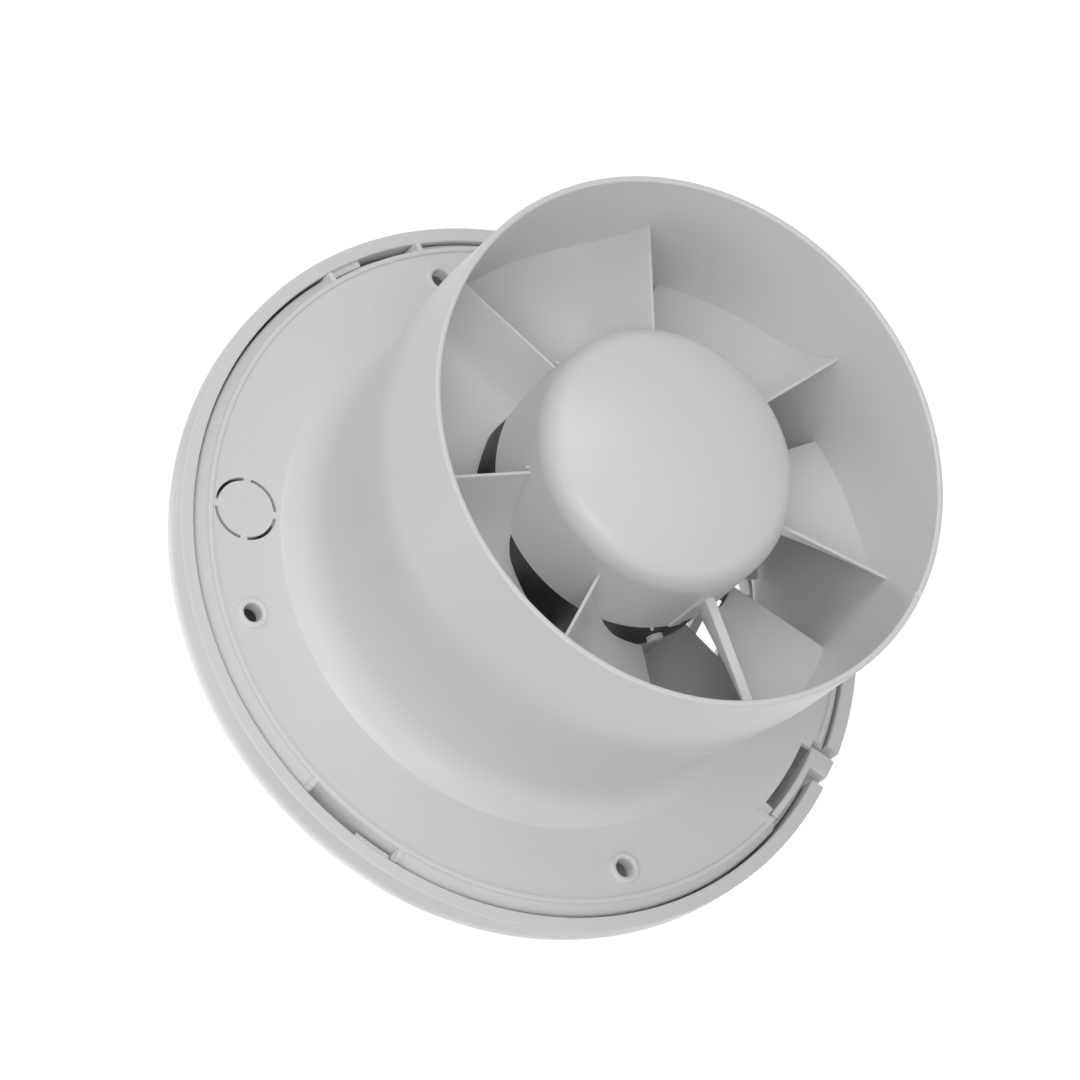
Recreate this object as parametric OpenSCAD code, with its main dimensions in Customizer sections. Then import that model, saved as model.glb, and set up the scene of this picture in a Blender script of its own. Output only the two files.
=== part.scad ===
// Round bathroom exhaust fan for a 150 mm duct, in millimetres.
// The origin lies on the fan's axis in the plane of the wall. +Y points down the duct,
// +Z is up and the front cover faces -Y. An angle a is measured from +X towards +Z.

/* [Duct tube] */
// Outer diameter of the tube's straight rear end, which the duct slides onto
spigot_od = 148; // [146:0.5:150]
// Length of the tube behind the wall plane
spigot_len = 96.2; // [95:0.2:104]
// Length of the straight rear end of the tube
spigot_land = 24; // [20:0.5:25]
// Wall thickness of the tube, the plate and the motor cup
wall = 1.7; // [1.5:0.1:1.9]
// Step from the spigot's radius down to the narrow waist's radius
waist_step = 6.7; // [6:0.1:7]
// Outer radius of the fillet between plate and tube
flare_fillet = 7.5; // [6.5:0.1:8]

/* [Base plate] */
// Width of the base outside the spigot
flange_w = 22; // [21:0.1:22.5]
// Depth of the base's side wall in front of the wall plane
base_depth = 15; // [14:0.1:15.5]
// Thickness of the base's side wall, whose back edge is the ridge that bears on the wall
base_wall = 1.9; // [1.7:0.1:2]
// Depth of the plate's back face below the ridge
plate_set = 0.8; // [0.6:0.1:1]
// Distance from the base's edge in to the centre of a wall screw hole
screw_margin = 9.4; // [9:0.1:10]
// Diameter of a wall screw hole
screw_hole_d = 5.2; // [4.5:0.1:5.4]
// Outer diameter of the boss round a screw hole
screw_boss_d = 8.4; // [8:0.1:9]
// Angle of the first wall screw hole
screw_angle = 45; // [44:1:46]
// Inner diameter of the cable knock-out's slot ring
knockout_d = 16.1; // [15.5:0.1:16.3]
// Width of the knock-out's slots
knockout_slot = 0.9; // [0.7:0.1:1]
// Width of the bridges that hold the knock-out
knockout_bridge = 1.9; // [1.5:0.1:2.2]
// Distance from the base's edge in to the centre of the knock-out
knockout_margin = 11.4; // [11.2:0.1:11.6]
// Angle of the knock-out
knockout_angle = 65; // [64:1:66]

/* [Front cover] */
// Width that the cover's rim stands out beyond the base
cover_lap = 6.5; // [6.4:0.1:7]
// Width of the rim's back edge
cover_rim_w = 4; // [3.8:0.1:4.1]
// Distance of the rim's back edge in front of the wall plane
cover_rim_y = 3.1; // [2.8:0.1:3.4]
// Radius of the cover's rounded outer edge
cover_round = 21; // [20:0.5:22]
// Straight depth of the cover's side behind the rounded edge
cover_side = 1.4; // [1.2:0.1:2.4]
// Wall thickness of the cover
cover_wall = 2; // [1.8:0.1:2.2]
// Width of the cover's flat ring between its rounded edge and the opening
cover_land = 2.5; // [2.3:0.1:3]
// Distance between two grille bars, centre to centre
bar_pitch = 10.7; // [9.5:0.1:12]
// Thickness of a grille bar
bar_t = 2.5; // [2:0.1:3]
// Depth of a grille bar
bar_depth = 5; // [4:0.5:5.5]

/* [Motor cup and guide vanes] */
// Outer diameter of the motor cup
cup_od = 75.2; // [75:0.1:75.6]
// Distance of the cup's open front edge behind the wall plane
cup_front = 55; // [54.8:0.1:55.2]
// Length of the cup's side up to the dome
cup_side = 23.5; // [23.2:0.1:23.9]
// Height of the dome
dome_h = 14.5; // [14.3:0.1:14.8]
// Radius of the rounded shoulder between the cup's side and the dome
dome_round = 8; // [7.5:0.1:8.4]
// Number of guide vanes
vane_count = 7; // [5:1:8]
// Thickness of a guide vane
vane_t = 1.5; // [1.2:0.1:1.6]
// Angle that a vane sweeps from its rear edge to its front edge
vane_sweep_angle = 40; // [38:1:42]
// Distance of the vanes' front edge behind the wall plane
vane_front = 46.2; // [46:0.1:46.6]
// Axial length of a vane at the tube wall
vane_len_wall = 24.3; // [23:0.1:25]
// Axial length of a vane at the cup
vane_len_cup = 27.3; // [26:0.1:28]

/* [Impeller] */
// Number of blades
blade_count = 5; // [4:1:6]
// Angle that a blade spans round the axis
blade_span_angle = 34; // [30:1:36]
// Gap between blade tip and throat
tip_gap = 1.3; // [1:0.1:2]
// Greatest thickness of a blade
blade_t = 2; // [1.6:0.1:2.2]
// Length of the hub along the axis
hub_len = 36; // [35:0.5:37]
// Wall thickness of the hub
hub_wall = 1.6; // [1.4:0.1:1.8]
// Angle of the first blade's rear edge
blade_angle = -82.7; // [-90:0.1:-75]

/* [Motor] */
// Length of the black shield in front of the cup
shield_len = 14.6; // [14.4:0.1:14.8]
// Diameter of the motor shaft
shaft_d = 5; // [4.8:0.1:5.2]
// Radial room between motor cup and stator core, which the rubber rings fill
core_room = 3.9; // [3.8:0.1:4]
// Length of the stator core
core_len = 20; // [19.5:0.1:20.2]
// Outer diameter of the rotor
rotor_od = 26; // [25.6:0.1:26.2]

/* [Release latch] */
// Angle over which the sprung arm reaches
latch_span_angle = 15; // [14:0.5:16]
// Width of the latch button
button_w = 6; // [5:0.1:6.4]
// Distance that the button stands out of the base
button_reach = 6.2; // [5.8:0.1:6.6]

/* [Hidden] */

// One overrun for every cut, and the depth by which moulded ribs run into their wall
over = 1;
root = 0.6;
// Clearance between pieces that don't touch, and the fit of a bore on its shaft
gap = 0.3;
run_fit = 0.04;
press_fit = 0.01;
round_fn = 96;
small_fn = 32;
quarter_angle = 90;

// Radii and stations of the tube and the plate
spigot_r = spigot_od / 2;
waist_r = spigot_r - waist_step;
throat_r = waist_r - wall;
flare_r = waist_r + flare_fillet;
plate_back = -plate_set;
plate_front = plate_back - wall;
waist_y = plate_back + flare_fillet;
land_y = spigot_len - spigot_land;
tube_steps = 10;
fillet_steps = 5;
base_r = spigot_r + flange_w;
rim_r = base_r - base_wall;
screw_at = base_r - screw_margin;
screw_count = 4;
knockout_at = base_r - knockout_margin;
rim_notch_d = 1.6;
rim_notch_angle = 45;

// A curve that starts and ends level, and the tube's outer radius at station y
function ease(t) = let (c = max(0, min(1, t))) c * c * (3 - 2 * c);
function tube_r(y) = waist_r + (spigot_r - waist_r) * ease((y - waist_y) / (land_y - waist_y));
function tube_curve(inset) = [
    for (k = [0 : tube_steps])
        let (y = waist_y + (land_y - waist_y) * k / tube_steps) [tube_r(y) - inset, y]
];
function flare_curve(inset) = [
    for (k = [0 : fillet_steps - 1])
        let (a = quarter_angle * k / fillet_steps, f = flare_fillet + inset)
            [flare_r - f * sin(a), plate_back + flare_fillet - f * cos(a)]
];
function back(points) = [for (k = [len(points) - 1 : -1 : 0]) points[k]];
function polar(r, a) = [r * cos(a), -r * sin(a)];

// Cable channel along the lowest side of the tube, and the lead that runs in it
lead_r = 1.5;
lead_gap = 0.3;
channel_angle = -90;
channel_half_angle = 12;
channel_bore_half_angle = 4;
grommet_t = 0.6;
grommet_lip = 0.4;
grommet_h = 1.2;
grommet_edge = 0.4;
shield_front = cup_front - shield_len;
lead_turn_y = shield_front + grommet_edge + grommet_t + lead_r;
channel_in = tube_r(lead_turn_y + 2 * lead_r) + lead_gap;
lead_at = channel_in + lead_r + lead_gap;
channel_out = lead_at + lead_r + lead_gap;
channel_r = channel_out + wall;
channel_end = lead_turn_y + 2 * lead_r + wall;
channel_ramp = 12;
channel_top = channel_end + channel_ramp;

// Catches: hooks on the cover between pairs of ribs on the base
catch_angles = [for (k = [0 : 2]) 6 + 118 * k];
catch_half_angle = 3.2;
rib_half_angle = 8.9;
rib_t = 1.6;
rib_depth = 10;
rib_set = 0.4;

// Latch: slot behind the arm, gap round it, rib at its root
latch_root_angle = -77.2;
latch_tip_angle = latch_root_angle - latch_span_angle;
latch_gap = 0.4;
latch_gap_angle = 0.4;
arm_t = 1.9;
arm_depth = 6;
arm_set = 0.3;
arm_ro = base_r - latch_gap;
arm_ri = arm_ro - arm_t;
slot_travel = 2.8;
slot_out = arm_ri - latch_gap;
slot_in = slot_out - slot_travel;
slot_root_angle = 1;
root_rib_t = 2.4;
root_rib_in = 5.6;
button_depth = 4.6;
button_set = plate_set + wall + gap;
button_round = 1.4;
button_edge = 0.4;
button_end_angle = channel_angle - asin((button_w + button_edge) / arm_ri);

// Cover
cover_r = base_r + cover_lap;
rim_in = cover_r - cover_rim_w;
round_y = -cover_rim_y - cover_side;
face_y = round_y - cover_round;
round_at = cover_r - cover_round;
inner_round = cover_round - cover_wall;
opening_r = round_at - cover_land;
collar_h = 6;
collar_t = 2;
edge_steps = 10;
outer_split = 5;
inner_split = 3;
notch_w = 12;
notch_far = 9.5;
notch_depth = 6.4;
hook_reach = 1.9;
hook_back = 0.5;
hook_depth = 9;
bar_back = face_y + bar_depth;
mid_rib_t = 2;
mid_rib_depth = 3;

// Cup and dome
cup_r = cup_od / 2;
cup_draft = 0.6;
dome_y = cup_front + cup_side;
dome_steps = 5;
dome_at = cup_r - cup_draft - dome_round;
dome_r = (dome_h * dome_h + dome_at * dome_at - dome_round * dome_round) / (2 * (dome_h - dome_round));
dome_joint = atan2(dome_r - dome_h, dome_at);
cup_in = cup_r - wall;

// Shield
shield_r = cup_r - gap;
shield_wall = 1.4;
skirt_len = 3;
skirt_r = cup_in - gap;
skirt_in = skirt_r - shield_wall;
boss_r = 8.5;
shield_boss = 10.4;
bush_r = 5.5;
bush_len = 7;
bush_floor = 1.2;
plug_r = 2.3;
plug_lip = 0.8;
plug_h = 1.5;
plug_angle = -46;
plug_from_edge = 7.4;

// Core, windings and bracket
core_r = cup_in - core_room;
core_front = cup_front + skirt_len;
core_rear = core_front + core_len;
yoke_share = 0.172;
yoke_t = yoke_share * core_r;
pole_w = 10;
pole_count = 4;
rotor_r = rotor_od / 2;
air_gap = 0.35;
shoe_t = 2.2;
shoe_r = rotor_r + air_gap + shoe_t;
shoe_w = 17;
coil_t = 4;
coil_shares = [0.06, 0.725];
end_turn = 3.9;
bobbin_t = 0.9;
cage_t = 2.4;
cage_w = 3.8;
bracket_t = 1.8;
bracket_wall = 1.2;
bracket_in = core_r - yoke_t - root;
bracket_len = end_turn + 2 * bobbin_t;
motor_screw_r = 1.25;
motor_screw_head = 2.2;
motor_screw_head_h = 1.8;
motor_screw_at = core_r - motor_screw_head - gap;
motor_screw_clear = 0.1;
motor_post_r = 3;
motor_screw_grip = 7;
ring_len = 5;
ring_inset = 2;

// Shaft and impeller
shaft_r = shaft_d / 2;
hub_step = 0.7;
hub_r = cup_r - hub_step;
hub_gap = 0.9;
hub_rear = shield_front - hub_gap;
hub_front = hub_rear - hub_len;
hub_round = 5;
boss_len = 19;
hub_boss_r = 6.6;
hub_rib_t = 1.2;
hub_rib_len = 6;
tip_r = throat_r - tip_gap;
blade_root_in = 0.8;
blade_lead_root = 1.2;
blade_lead_tip = 6;
blade_tail_root = 25;
blade_tail_tip = 21.6;
blade_camber_share = 0.35;
blade_edge_t = 0.9;
blade_steps = 8;
blade_rings = 4;
nut_af = 8;
nut_h = 4;
washer_r = 6;
washer_t = 1;
shaft_out = 1;
thrust_r = 4.6;
thrust_t = 0.8;

// Terminals, clamp and motor lead inside the base
terminal_angle = 97;
terminal_w = 22;
terminal_d = 11.6;
terminal_margin = 3.7;
terminal_at = rim_r - terminal_margin - terminal_d / 2;
terminal_h = 9;
terminal_ways = 3;
terminal_pitch = 6.6;
terminal_well_r = 1.9;
terminal_well = 5;
terminal_floor = plate_front - terminal_h + terminal_well;
terminal_screw_r = 1.6;
terminal_screw_h = 3.4;
terminal_slot = 0.6;
terminal_mouth_r = 1.5;
clamp_angle = 80;
clamp_len = 15;
clamp_margin = 2.4;
clamp_at = rim_r - clamp_margin - clamp_len / 2;
clamp_w = 5.6;
clamp_t = 2.2;
clamp_h = 6.2;
clamp_leg = 4.6;
clamp_screw_r = 1.3;
clamp_head_r = 2.1;
clamp_head_h = 1.4;
clamp_screw_len = 7.4;
clamp_post_r = 2.4;
clamp_post = 2.6;
lead_route_r = terminal_at - terminal_d / 2;
lead_y = plate_front - lead_r - gap;
lead_knuckle = 0.15;
lid_wall = 1.2;
lid_depth = 15;
lid_margin = 0.5;
lid_out = rim_r - lid_margin;
lid_in = flare_r + lid_margin / 2;
lid_start_angle = 38;
lid_end_angle = 113;
lid_wall_angle = 0.9;
lid_front = plate_front - lid_depth;

// Vane outline as shares: how far down the sweep each station lies
vane_station_shares = [0, 0.04, 0.09, 0.15, 0.22, 0.3, 0.4, 0.52, 0.68, 0.84, 1];
vane_ramp_share = 0.5;
vane_curl = 6.6;

// Placing helpers
module along_y() rotate([-90, 0, 0]) children();
module at_angle(a) rotate([0, -a, 0]) children();
module out_along_x() rotate([0, 90, 0]) children();
module turned(points) along_y() rotate_extrude($fn = round_fn) polygon(points);
module disc(r, y0, y1, fn = round_fn) along_y() translate([0, 0, y0]) cylinder(r = r, h = y1 - y0, $fn = fn);
module ring(ro, ri, y0, y1, fn = round_fn) difference() {
    disc(ro, y0, y1, fn);
    disc(ri, y0 - over, y1 + over, fn);
}
module sector(a0, a1, reach, y0, y1) along_y() translate([0, 0, y0]) linear_extrude(y1 - y0)
    polygon([[0, 0], polar(reach, a0), polar(reach, (a0 + a1) / 2), polar(reach, a1)]);
module ring_part(ro, ri, a0, a1, y0, y1) intersection() {
    ring(ro, ri, y0, y1);
    sector(a0, a1, 2 * ro, y0 - over, y1 + over);
}
module radial_bar(r0, r1, w, y0, y1) translate([r0, y0, -w / 2]) cube([r1 - r0, y1 - y0, w]);

// A closed skin between two grids of points that share their outline.
// Each grid is a list of rows, and both have the same number of rows and columns.
module skin(top, bottom) {
    rows = len(top);
    cols = len(top[0]);
    count = rows * cols;
    points = [for (grid = [top, bottom]) for (row = grid) for (p = row) p];
    quads = concat(
        [for (i = [0 : rows - 2]) for (j = [0 : cols - 2])
            [i * cols + j, i * cols + j + 1, (i + 1) * cols + j + 1, (i + 1) * cols + j]],
        [for (i = [0 : rows - 2]) for (j = [0 : cols - 2])
            [for (q = [[i, j], [i + 1, j], [i + 1, j + 1], [i, j + 1]]) count + q[0] * cols + q[1]]],
        [for (i = [0 : rows - 2])
            [i * cols, (i + 1) * cols, count + (i + 1) * cols, count + i * cols]],
        [for (i = [0 : rows - 2])
            [i * cols + cols - 1, count + i * cols + cols - 1,
             count + (i + 1) * cols + cols - 1, (i + 1) * cols + cols - 1]],
        [for (j = [0 : cols - 2]) [j, count + j, count + j + 1, j + 1]],
        [for (j = [0 : cols - 2]) let (e = (rows - 1) * cols + j) [e, e + 1, count + e + 1, count + e]]
    );
    polyhedron(points, [for (q = quads) for (t = [[q[0], q[1], q[2]], [q[0], q[2], q[3]]]) t]);
}

// Tube, plate and rim: one moulding on the real fan, in three nodes here
module channel_outside() intersection() {
    turned(concat(
        [[flare_r, plate_back], [channel_r, plate_back], [channel_r, channel_end],
         [tube_r(channel_top) - wall / 2, channel_top]],
        back([for (p = tube_curve(wall / 2)) if (p[1] < channel_top - over) p]),
        back(flare_curve(wall / 2))));
    sector(channel_angle - channel_half_angle, channel_angle + channel_half_angle, 2 * base_r,
           -base_depth, spigot_len);
}
module channel_bore() {
    ring_part(channel_out, channel_in, channel_angle - channel_bore_half_angle,
              channel_angle + channel_bore_half_angle, plate_front - flare_fillet, channel_end - wall);
    at_angle(channel_angle) translate([cup_r, lead_turn_y, 0]) out_along_x()
        cylinder(r = lead_r + lead_gap, h = channel_in + lead_r - cup_r, $fn = small_fn);
}
module duct_tube() color([0.87, 0.87, 0.87]) difference() {
    union() {
        turned(concat(flare_curve(0), tube_curve(0),
                      [[spigot_r, spigot_len], [spigot_r - wall, spigot_len]],
                      back(tube_curve(wall)), back(flare_curve(wall))));
        channel_outside();
    }
    channel_bore();
    at_angle(channel_angle) translate([spigot_r - wall - over, spigot_len, 0]) rotate([rim_notch_angle, 0, 0])
        translate([0, -rim_notch_d / 2, -rim_notch_d / 2])
            cube([wall + 2 * over, rim_notch_d, rim_notch_d]);
}
module knockout_cut() at_angle(knockout_angle) translate([knockout_at, 0, 0]) difference() {
    ring(knockout_d / 2 + knockout_slot, knockout_d / 2, plate_front - over, over, small_fn);
    for (a = [0, quarter_angle]) at_angle(a)
        translate([-knockout_d, plate_front - 2 * over, -knockout_bridge / 2])
            cube([2 * knockout_d, wall + 4 * over, knockout_bridge]);
}
module screw_places() for (k = [0 : screw_count - 1]) at_angle(screw_angle + 360 / screw_count * k)
    translate([screw_at, 0, 0]) children();
module clamp_places() at_angle(clamp_angle) for (side = [-1, 1])
    translate([clamp_at + side * (clamp_len - clamp_leg) / 2, 0, 0]) children();
module latch_cut() {
    ring_part(base_r + over, slot_out, button_end_angle - latch_gap_angle, latch_root_angle + latch_gap_angle,
              -button_set - button_depth - gap, over);
    ring_part(slot_out + over, slot_in, latch_tip_angle - latch_gap_angle, latch_root_angle - slot_root_angle,
              plate_front - over, over);
}
module base_plate() color([0.87, 0.87, 0.87]) difference() {
    union() {
        ring(rim_r, flare_r, plate_front, plate_back);
        screw_places() disc(screw_boss_d / 2, plate_front - wall, 0, small_fn);
        clamp_places() disc(clamp_post_r, plate_front - clamp_post, plate_front + wall / 2, small_fn);
        at_angle(latch_root_angle + latch_gap_angle + slot_root_angle)
            radial_bar(base_r - root_rib_in, rim_r, root_rib_t, -arm_depth, 0);
    }
    screw_places() disc(screw_hole_d / 2, plate_front - wall - over, over, small_fn);
    clamp_places() disc(clamp_screw_r + press_fit, plate_front - clamp_post - over,
                        plate_front + wall / 2, small_fn);
    channel_bore();
    knockout_cut();
    latch_cut();
}
module base_rim() color([0.87, 0.87, 0.87]) difference() {
    union() {
        ring(base_r, rim_r, -base_depth, 0);
        for (a = catch_angles) for (side = [-1, 1]) at_angle(a + side * rib_half_angle)
            radial_bar(base_r - base_wall / 2, rim_in - gap, rib_t, -rib_depth, -rib_set);
    }
    latch_cut();
}

// Domed cup that holds the motor
function dome_curve(inset) = concat(
    [for (k = [0 : dome_steps - 1]) let (a = dome_joint * k / dome_steps)
        [dome_at + (dome_round - inset) * cos(a), dome_y + (dome_round - inset) * sin(a)]],
    [for (k = [0 : dome_steps - 1]) let (a = dome_joint + (quarter_angle - dome_joint) * k / dome_steps)
        [(dome_r - inset) * cos(a), dome_y + dome_h - dome_r + (dome_r - inset) * sin(a)]]);
module motor_cup() color([0.86, 0.86, 0.87]) difference() {
    turned(concat([[0, cup_front], [cup_r, cup_front]], dome_curve(0), [[0, dome_y + dome_h]]));
    turned(concat([[0, cup_front - over], [cup_in, cup_front - over], [cup_in, cup_front]],
                  dome_curve(wall), [[0, dome_y + dome_h - wall]]));
}

// Guide vanes: ruled from the cup to the tube wall, axial at the rear and swept at the front
function vane_rise(u) = vane_ramp_share * (1 - u) + (1 - vane_ramp_share) * pow(1 - u, vane_curl);
function vane_slope(u) = -vane_ramp_share - (1 - vane_ramp_share) * vane_curl * pow(1 - u, vane_curl - 1);
function vane_point(u, outer, side) = let (
        len_y = outer ? vane_len_wall : vane_len_cup,
        y = vane_front + len_y * vane_rise(u),
        r = outer ? tube_r(y) - wall + root : (y > cup_front ? cup_r - root : cup_r),
        run = r * vane_sweep_angle * PI / 180,
        rise = len_y * vane_slope(u),
        n = norm([run, rise]),
        s = side * vane_t / 2,
        a = -vane_sweep_angle * u + s * rise / n / r * 180 / PI
    ) [r * cos(a), y + s * run / n, r * sin(a)];
module guide_vane() skin(
    [for (u = vane_station_shares) [for (outer = [false, true]) vane_point(u, outer, 1)]],
    [for (u = vane_station_shares) [for (outer = [false, true]) vane_point(u, outer, -1)]]);
module guide_vanes() color([0.85, 0.85, 0.85])
    for (k = [0 : vane_count - 1]) at_angle(360 / vane_count * k) guide_vane();

// Black shield that closes the cup and carries the front bush
module motor_screw_places() for (k = [0 : pole_count - 1]) at_angle(360 / pole_count * (k + 1 / 2))
    translate([motor_screw_at, 0, 0]) children();
module motor_shield() color([0.12, 0.12, 0.12]) difference() {
    union() {
        turned([[0, shield_front], [shield_r, shield_front], [shield_r, cup_front], [skirt_r, cup_front],
                [skirt_r, core_front], [skirt_in, core_front], [skirt_in, shield_front + shield_wall],
                [0, shield_front + shield_wall]]);
        disc(boss_r, shield_front - shield_boss, shield_front + shield_wall);
        motor_screw_places() disc(motor_post_r, shield_front + shield_wall / 2, core_front, small_fn);
    }
    disc(bush_r, shield_front - shield_boss + bush_floor, shield_front + shield_wall + over, small_fn);
    disc(shaft_r + gap, shield_front - shield_boss - over, shield_front, small_fn);
    motor_screw_places() disc(motor_screw_r + motor_screw_clear, core_front - motor_screw_grip - skirt_len,
                              core_front + over, small_fn);
    at_angle(channel_angle) translate([skirt_in - over, lead_turn_y, 0]) out_along_x()
        cylinder(r = lead_r + grommet_t, h = shield_r - skirt_in + 2 * over, $fn = small_fn);
    at_angle(plug_angle) translate([skirt_in - over, cup_front - plug_from_edge, 0]) out_along_x()
        cylinder(r = plug_r - plug_lip, h = shield_r - skirt_in + 2 * over, $fn = small_fn);
}
module shield_plug() color([0.85, 0.85, 0.84])
    at_angle(plug_angle) translate([0, cup_front - plug_from_edge, 0]) out_along_x() {
        translate([0, 0, skirt_in])
            cylinder(r = plug_r - plug_lip - press_fit, h = shield_r - skirt_in + over, $fn = small_fn);
        translate([0, 0, shield_r + gap / 2]) cylinder(r = plug_r, h = plug_h, $fn = small_fn);
    }
ring_starts = [core_front + ring_inset, core_rear - ring_inset - ring_len];
module cup_rings() color([0.16, 0.16, 0.16]) for (y = ring_starts)
    ring(cup_in - cup_draft * (y + ring_len - cup_front) / cup_side - gap, core_r + press_fit,
         y, y + ring_len);

// Stator: yoke, four poles and their shoes, with a coil on a bobbin round each pole
module pole_places() for (k = [0 : pole_count - 1]) at_angle(360 / pole_count * k) children();
module stator_core() color([0.45, 0.46, 0.48]) difference() {
    union() {
        ring(core_r, core_r - yoke_t, core_front, core_rear);
        pole_places() radial_bar(rotor_r + air_gap + shoe_t / 2, core_r - yoke_t / 2, pole_w,
                                 core_front, core_rear);
        intersection() {
            ring(shoe_r, rotor_r + air_gap, core_front, core_rear);
            pole_places() radial_bar(0, rotor_r + 2 * shoe_t, shoe_w, core_front, core_rear);
        }
    }
    motor_screw_places() disc(motor_screw_r + motor_screw_clear, core_front - over, core_rear + over,
                              small_fn);
}
coil_room = core_r - yoke_t - shoe_r;
coil_r0 = shoe_r + coil_shares[0] * coil_room;
coil_r1 = shoe_r + coil_shares[1] * coil_room;
module coil_frame(inner, outer, r0, r1) pole_places() difference() {
    radial_bar(r0, r1, pole_w + 2 * outer, core_front - outer, core_rear + outer);
    radial_bar(r0 - over, r1 + over, pole_w + 2 * inner, core_front - inner, core_rear + inner);
}
module coil_bobbins() color([0.9, 0.88, 0.8]) coil_frame(press_fit, bobbin_t, coil_r0, coil_r1);
module pole_windings() color([0.72, 0.4, 0.2])
    coil_frame(bobbin_t + press_fit, bobbin_t + coil_t, coil_r0 + bobbin_t, coil_r1 - bobbin_t);

// Rear bracket with the rear bush
bracket_floor = core_rear + bracket_len;
module rear_bracket() color([0.6, 0.61, 0.63]) difference() {
    turned([[0, bracket_floor], [bracket_in, bracket_floor], [bracket_in, core_rear],
            [core_r, core_rear], [core_r, core_rear + bracket_t],
            [bracket_in + bracket_wall, core_rear + bracket_t],
            [bracket_in + bracket_wall, bracket_floor + bracket_t], [boss_r, bracket_floor + bracket_t],
            [boss_r, bracket_floor + bracket_t + 2 * bush_floor],
            [0, bracket_floor + bracket_t + 2 * bush_floor]]);
    disc(bush_r, bracket_floor - over, bracket_floor + bracket_t + bush_floor, small_fn);
    motor_screw_places() disc(motor_screw_r + motor_screw_clear, core_rear - over,
                              core_rear + bracket_t + over, small_fn);
}
rear_bush_end = bracket_floor + bracket_t + bush_floor;
module rear_bush() color([0.66, 0.5, 0.3])
    ring(bush_r - press_fit, shaft_r + run_fit, rear_bush_end - bush_len / 2, rear_bush_end, small_fn);
front_bush_y = shield_front - shield_boss + bush_floor;
module front_bush() color([0.66, 0.5, 0.3])
    ring(bush_r - press_fit, shaft_r + run_fit, front_bush_y, front_bush_y + bush_len, small_fn);
module motor_screws() color([0.7, 0.7, 0.72]) motor_screw_places() {
    disc(motor_screw_r, core_front - motor_screw_grip, core_rear + bracket_t, small_fn);
    disc(motor_screw_head, core_rear + bracket_t, core_rear + bracket_t + motor_screw_head_h, small_fn);
}

// Terminal block, cable clamp and the lead to the motor
module terminal_places() at_angle(terminal_angle)
    for (k = [0 : terminal_ways - 1])
        translate([terminal_at, 0, (k - (terminal_ways - 1) / 2) * terminal_pitch]) children();
module terminal_block() color([0.92, 0.92, 0.9]) difference() {
    at_angle(terminal_angle) translate([terminal_at - terminal_d / 2, plate_front - terminal_h, 0])
        translate([0, 0, -terminal_w / 2]) cube([terminal_d, terminal_h, terminal_w]);
    terminal_places() disc(terminal_well_r, plate_front - terminal_h - over, terminal_floor, small_fn);
    terminal_places() translate([-terminal_d, plate_front - terminal_h / 2, 0]) out_along_x()
        cylinder(r = terminal_mouth_r, h = 2 * terminal_d, $fn = small_fn);
}
module terminal_screws() color([0.75, 0.68, 0.42]) terminal_places() difference() {
    disc(terminal_screw_r, terminal_floor - terminal_screw_h, terminal_floor, small_fn);
    translate([-terminal_screw_r, terminal_floor - terminal_screw_h - over, -terminal_slot / 2])
        cube([2 * terminal_screw_r, over + terminal_slot, terminal_slot]);
}
clamp_seat = plate_front - clamp_post;
module cable_clamp() color([0.88, 0.88, 0.87]) difference() {
    at_angle(clamp_angle) translate([clamp_at - clamp_len / 2, clamp_seat - clamp_h, -clamp_w / 2])
        difference() {
            cube([clamp_len, clamp_h, clamp_w]);
            translate([clamp_leg, clamp_t, -over])
                cube([clamp_len - 2 * clamp_leg, clamp_h, clamp_w + 2 * over]);
        }
    clamp_places() disc(clamp_screw_r + motor_screw_clear, clamp_seat - clamp_h - over, clamp_seat + over,
                        small_fn);
}
module terminal_cover() color([0.86, 0.86, 0.86]) difference() {
    ring_part(lid_out, lid_in, lid_start_angle, lid_end_angle, lid_front, plate_front);
    ring_part(lid_out - lid_wall, lid_in + lid_wall, lid_start_angle + lid_wall_angle,
              lid_end_angle - lid_wall_angle, lid_front + lid_wall, plate_front + over);
    ring_part(lead_route_r + lead_r + gap, lead_route_r - lead_r - gap, lid_end_angle - 2 * lid_wall_angle,
              lid_end_angle + lid_wall_angle, lead_y - lead_r - gap, plate_front + over);
}
module clamp_screws() color([0.7, 0.7, 0.72]) clamp_places() {
    disc(clamp_screw_r, clamp_seat - clamp_h, clamp_seat - clamp_h + clamp_screw_len, small_fn);
    disc(clamp_head_r, clamp_seat - clamp_h - clamp_head_h, clamp_seat - clamp_h, small_fn);
}
lead_start = terminal_angle + asin((terminal_w / 2 + gap) / lead_route_r);
lead_join = (coil_r0 + coil_r1) / 2;
module motor_lead() color([0.8, 0.8, 0.8]) {
    translate([0, lead_y, 0]) at_angle(360 + channel_angle) along_y()
        rotate_extrude(angle = 360 + channel_angle - lead_start, $fn = round_fn)
            translate([lead_route_r, 0]) circle(r = lead_r, $fn = small_fn);
    at_angle(channel_angle) {
        translate([lead_at, lead_y, 0]) out_along_x()
            cylinder(r = lead_r, h = lead_route_r - lead_at, $fn = small_fn);
        translate([lead_at, 0, 0]) disc(lead_r, lead_y, lead_turn_y, small_fn);
        translate([lead_join, lead_turn_y, 0]) out_along_x()
            cylinder(r = lead_r, h = lead_at - lead_join, $fn = small_fn);
        translate([lead_join, 0, 0])
            disc(lead_r, lead_turn_y, core_front - bobbin_t - coil_t - press_fit, small_fn);
        for (p = [[lead_route_r, lead_y, 0], [lead_at, lead_y, 0], [lead_at, lead_turn_y, 0],
                  [lead_join, lead_turn_y, 0]])
            translate(p) sphere(r = lead_r + lead_knuckle, $fn = small_fn);
    }
}
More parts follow.
